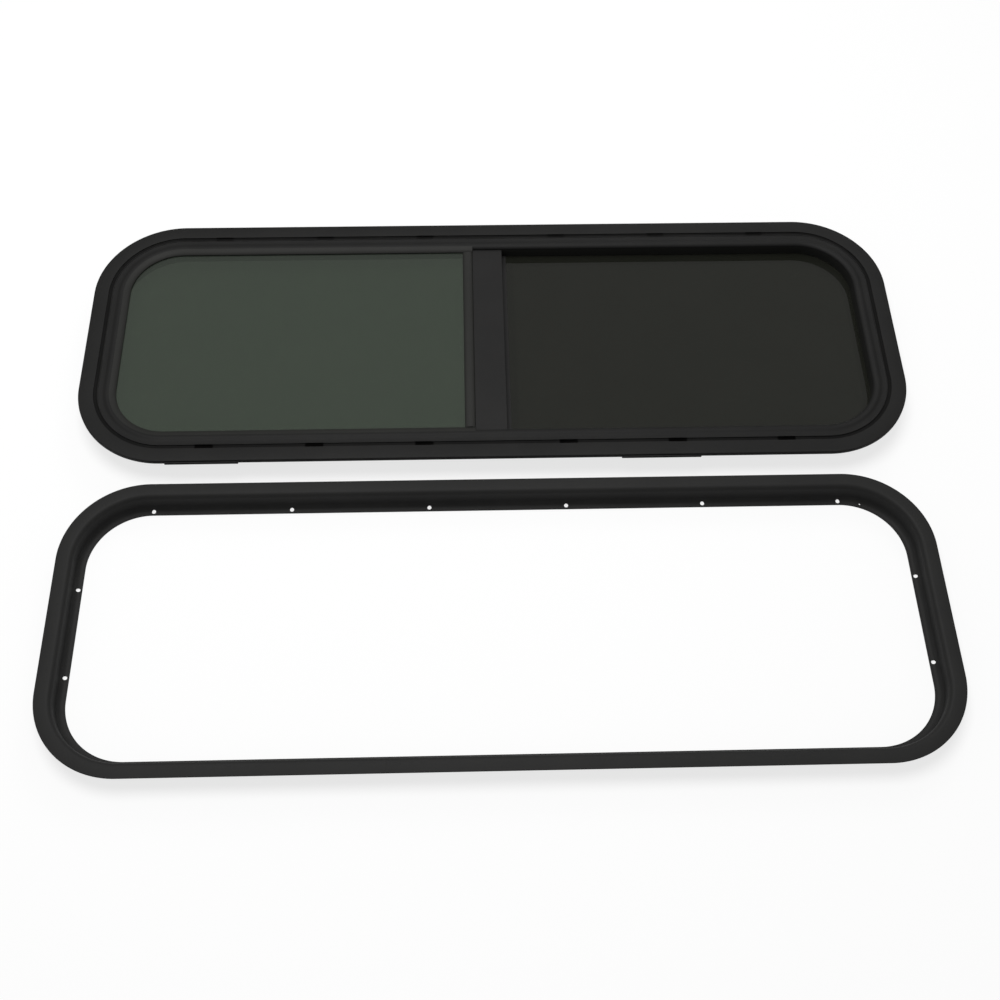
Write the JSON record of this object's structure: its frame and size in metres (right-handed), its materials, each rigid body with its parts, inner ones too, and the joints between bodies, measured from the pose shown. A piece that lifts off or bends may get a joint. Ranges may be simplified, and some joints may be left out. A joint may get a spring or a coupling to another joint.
{
  "type": "sliding window",
  "caption": "Long low caravan sliding window with round corners, a tinted fixed pane beside a sliding pane with insect screen, and its loose Z section clamp ring with screw holes.",
  "frame": {"origin": "on the floor, under the middle of the whole set of window and clamp ring", "axes": "+X along the slide, to the vent side seen from outside, +Y towards the window's top edge, +Z out of the wall"},
  "size_m": [0.9524, 0.7048, 0.032],
  "materials": {
    "frame_finish": "black powder coat, satin",
    "ring_finish": "black powder coat, satin",
    "mullion_finish": "black powder coat, satin",
    "tinted_glass": "dark grey green tint, polished",
    "glazing_rubber": "matte black rubber",
    "track_vinyl": "black vinyl",
    "black_nylon": "black moulded plastic",
    "pile": "black brush pile",
    "screen_frame_finish": "black painted roll formed strip",
    "screen_cloth": "black coated glass fibre mesh",
    "pull_plastic": "black moulded plastic, fine grain"
  },
  "bodies": {
    "frame": {"outer_frame": "frame_finish", "fixed_glass": "tinted_glass", "fixed_glass_gasket": "glazing_rubber", "mullion": "mullion_finish", "mullion_bead": "glazing_rubber", "mullion_clip_upper": "black_nylon", "mullion_clip_lower": "black_nylon", "mullion_pile": "pile", "sash_track_upper": "track_vinyl", "sash_track_lower": "track_vinyl", "sash_stop_upper": "black_nylon", "sash_stop_lower": "black_nylon", "sash_end_seal": "glazing_rubber", "vent_seal": "glazing_rubber", "screen_frame": "screen_frame_finish", "screen_mesh": "screen_cloth", "drip_cover_left": "black_nylon", "drip_cover_right": "black_nylon", "trim_ring": "ring_finish"},
    "sash": {"sash_glass": "tinted_glass", "sash_stile": "mullion_finish", "sash_glide_upper_left": "black_nylon", "sash_glide_upper_right": "black_nylon", "sash_glide_lower_left": "black_nylon", "sash_glide_lower_right": "black_nylon", "sash_pull": "pull_plastic"}
  },
  "joints": [
    {"name": "sash_slide", "type": "slide", "parent": "frame", "child": "sash", "axis": [-1, 0, 0], "range_m": [0, 0.345]}
  ]
}
